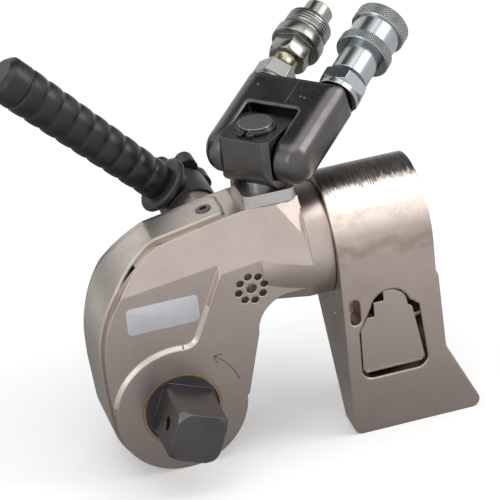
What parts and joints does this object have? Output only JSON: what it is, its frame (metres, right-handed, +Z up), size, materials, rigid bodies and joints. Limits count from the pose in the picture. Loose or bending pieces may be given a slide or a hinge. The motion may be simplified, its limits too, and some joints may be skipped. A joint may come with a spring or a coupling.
{
  "type": "hydraulic torque wrench",
  "caption": "Square-drive hydraulic torque wrench with a plated steel head, black tilting swivel, hose couplers, ribbed handle and flared reaction arm.",
  "frame": {"origin": "on the drive axis, in the face of the drive boss", "axes": "+X along the cylinder to the reaction arm, -Y along the square drive, +Z up"},
  "size_m": [0.2133, 0.138, 0.2079],
  "materials": {
    "plated_steel": "satin nickel plate, warm grey",
    "satin_steel": "brushed",
    "bright_steel": "ground",
    "black_oxide": "satin black oxide",
    "zinc_plate": "bright zinc plate",
    "bronze": "turned",
    "black_plastic": "satin",
    "black_rubber": "moulded",
    "seal_rubber": "moulded"
  },
  "bodies": {
    "housing": {"body": "plated_steel", "shroud": "satin_steel", "shroud_screws": "bright_steel", "front_bush": "bronze", "rear_bush": "bronze", "rod_seal": "seal_rubber", "end_cap": "bright_steel", "end_seal": "seal_rubber", "swivel_base": "satin_steel", "spigot": "bright_steel", "circlip": "bright_steel", "reaction_arm": "plated_steel", "lock_pin": "bright_steel", "lock_spring": "bright_steel", "handle_stud": "bright_steel"},
    "piston_group": {"piston": "bright_steel", "piston_seal": "seal_rubber", "piston_rod": "satin_steel"},
    "drive_lever": {"lever_plates": "bright_steel", "crank_pin": "satin_steel", "pawl_pin": "satin_steel", "spring_pin": "satin_steel", "pawl_spring": "satin_steel"},
    "pawl": {"drive_pawl": "black_oxide"},
    "drive": {"square_drive": "black_oxide", "ratchet": "black_oxide", "drive_retainer": "black_oxide"},
    "drive_button": {"release_button": "bright_steel"},
    "swivel": {"swivel_post": "black_oxide", "pivot_pins": "satin_steel"},
    "manifold_group": {"manifold": "black_oxide", "male_adapter": "bronze", "male_coupler": "zinc_plate", "female_adapter": "zinc_plate", "female_coupler": "zinc_plate"},
    "sleeve": {"coupler_sleeve": "zinc_plate"},
    "arm_lock": {"lock_lever": "plated_steel"},
    "handle": {"handle_hub": "black_plastic", "handle_grip": "black_rubber"},
    "knob": {"clamp_knob": "black_plastic"}
  },
  "joints": [
    {"name": "piston_stroke", "type": "slide", "parent": "housing", "child": "piston_group", "axis": [-1, 0, 0], "range_m": [0, 0.02713]},
    {"name": "lever_swing", "type": "hinge", "parent": "housing", "child": "drive_lever", "pos_m": [0, 0.024, 0], "axis": [0, -1, 0], "range_deg": [0, 24]},
    {"name": "pawl_rock", "type": "hinge", "parent": "drive_lever", "child": "pawl", "pos_m": [0.01956, 0.024, 0.04003], "axis": [0, -1, 0], "range_deg": [0, 13], "stiffness_Nm_per_rad": 0.02},
    {"name": "drive_turn", "type": "hinge", "parent": "housing", "child": "drive", "pos_m": [0, 0.024, 0], "axis": [0, -1, 0], "continuous": true},
    {"name": "button_press", "type": "slide", "parent": "drive", "child": "drive_button", "axis": [0, -1, 0], "range_m": [0, 0.0025], "stiffness_N_per_m": 800},
    {"name": "swivel_turn", "type": "hinge", "parent": "housing", "child": "swivel", "pos_m": [0.0585, 0.024, 0.1175], "axis": [0, 0, 1], "range_deg": [-200, 60]},
    {"name": "manifold_tilt", "type": "hinge", "parent": "swivel", "child": "manifold_group", "pos_m": [0.0585, 0.024, 0.1175], "axis": [0.682, -0.7314, 0], "range_deg": [-8, 90]},
    {"name": "sleeve_turn", "type": "hinge", "parent": "manifold_group", "child": "sleeve", "pos_m": [0.13317, 0.06525, 0.14438], "axis": [0.6956, 0.6486, 0.309], "continuous": true},
    {"name": "lock_release", "type": "hinge", "parent": "housing", "child": "arm_lock", "pos_m": [0.10575, 0.0022, 0.022], "axis": [1, 0, 0], "range_deg": [0, 20], "stiffness_Nm_per_rad": 0.3},
    {"name": "handle_swing", "type": "hinge", "parent": "housing", "child": "handle", "pos_m": [0.0293, 0.066, 0.0777], "axis": [0, -1, 0], "range_deg": [0, 90]},
    {"name": "knob_turn", "type": "hinge", "parent": "housing", "child": "knob", "pos_m": [0.0293, 0.0826, 0.0777], "axis": [0, 1, 0], "continuous": true}
  ],
  "couplings": [
    {"joint": "lever_swing", "follows": "piston_stroke", "rad_per_m": 15.438}
  ]
}
